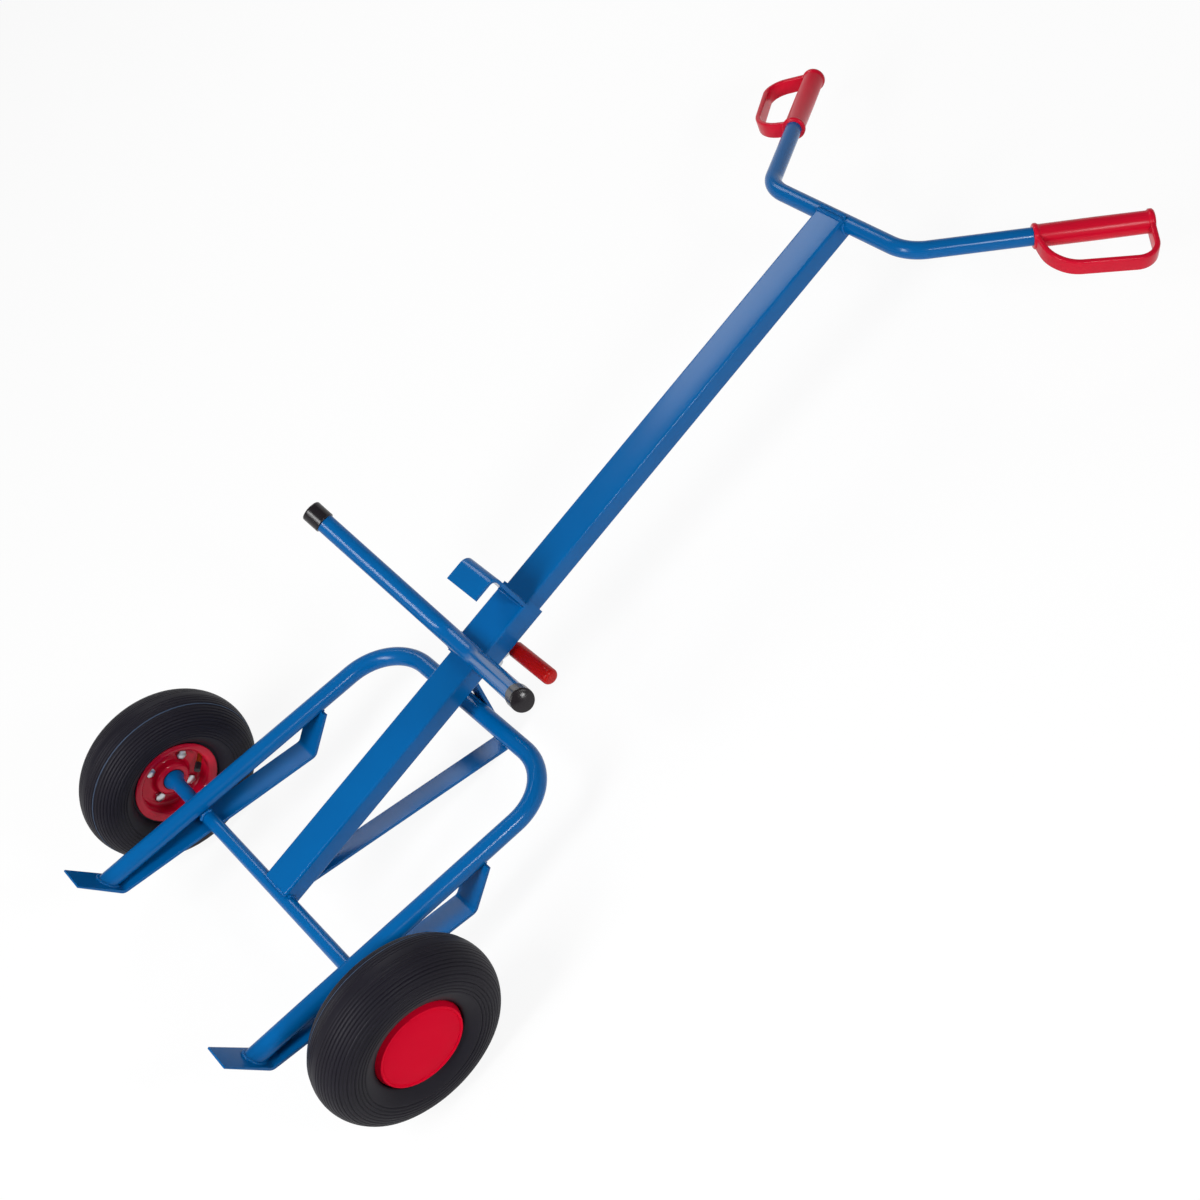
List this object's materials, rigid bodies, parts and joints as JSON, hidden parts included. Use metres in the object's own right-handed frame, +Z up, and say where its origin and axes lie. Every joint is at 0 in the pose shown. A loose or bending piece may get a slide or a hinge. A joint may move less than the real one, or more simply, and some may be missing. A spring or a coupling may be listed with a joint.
{
  "type": "drum trolley",
  "caption": "Drum trolley with a sliding hook on a rectangular mast, a bent tube hoop with toes, flat-bar skids, pneumatic wheels and a bull-horn handlebar with guarded grips.",
  "frame": {"origin": "on the floor below the middle of the axle, with the trolley laid back on its wheels and centre skid", "axes": "+X along the axle to the left wheel, +Y along the laid mast towards the handlebar, +Z up"},
  "size_m": [0.7214, 1.5762, 0.3395],
  "materials": {
    "blue_powder_coat": "gloss blue powder coat on steel",
    "red_powder_coat": "red powder coat on pressed steel",
    "red_moulding": "satin moulded red plastic",
    "red_cap": "smooth moulded red plastic",
    "black_cap": "glossy moulded black plastic",
    "black_hub": "black painted steel",
    "zinc_steel": "bright zinc plated steel",
    "tyre": "ribbed black tyre rubber",
    "tube_rubber": "smooth black rubber",
    "brass": "plain brass"
  },
  "bodies": {
    "frame": {"mast": "blue_powder_coat", "handlebar": "blue_powder_coat", "grip_left": "red_moulding", "grip_right": "red_moulding", "hoop": "blue_powder_coat", "skid_left": "blue_powder_coat", "skid_right": "blue_powder_coat", "centre_skid": "blue_powder_coat", "axle": "blue_powder_coat", "axle_collars": "blue_powder_coat", "axle_washers": "zinc_steel", "axle_rings": "zinc_steel"},
    "left_wheel": {"left_tyre": "tyre", "left_inner_tube": "tube_rubber", "left_outer_rim": "red_powder_coat", "left_inner_rim": "red_powder_coat", "left_rim_bolts": "zinc_steel", "left_rim_nuts": "zinc_steel", "left_hub": "black_hub", "left_bearings": "zinc_steel", "left_hub_cap": "red_cap", "left_valve_stem": "brass", "left_valve_cap": "black_cap"},
    "right_wheel": {"right_tyre": "tyre", "right_inner_tube": "tube_rubber", "right_outer_rim": "red_powder_coat", "right_inner_rim": "red_powder_coat", "right_rim_bolts": "zinc_steel", "right_rim_nuts": "zinc_steel", "right_hub": "black_hub", "right_bearings": "zinc_steel", "right_hub_cap": "red_cap", "right_valve_stem": "brass", "right_valve_cap": "black_cap"},
    "slider": {"sleeve": "blue_powder_coat", "hook": "blue_powder_coat", "cross_bar": "blue_powder_coat", "bar_cap_left": "black_cap", "bar_cap_right": "black_cap", "lever_ears": "blue_powder_coat", "lever_pin": "zinc_steel"},
    "lever": {"pawl": "zinc_steel", "lever_rod": "zinc_steel", "lever_grip": "red_moulding"}
  },
  "joints": [
    {"name": "left_wheel_spin", "type": "hinge", "parent": "frame", "child": "left_wheel", "pos_m": [0, 0, 0.13], "axis": [1, 0, 0], "continuous": true},
    {"name": "right_wheel_spin", "type": "hinge", "parent": "frame", "child": "right_wheel", "pos_m": [0, 0, 0.13], "axis": [1, 0, 0], "continuous": true},
    {"name": "hook_slide", "type": "slide", "parent": "frame", "child": "slider", "axis": [0, 0.9958, 0.0912], "range_m": [-0.005, 0.63]},
    {"name": "lever_turn", "type": "hinge", "parent": "slider", "child": "lever", "pos_m": [0, 0.41297, 0.1382], "axis": [1, 0, 0], "range_deg": [-35, 0]}
  ]
}
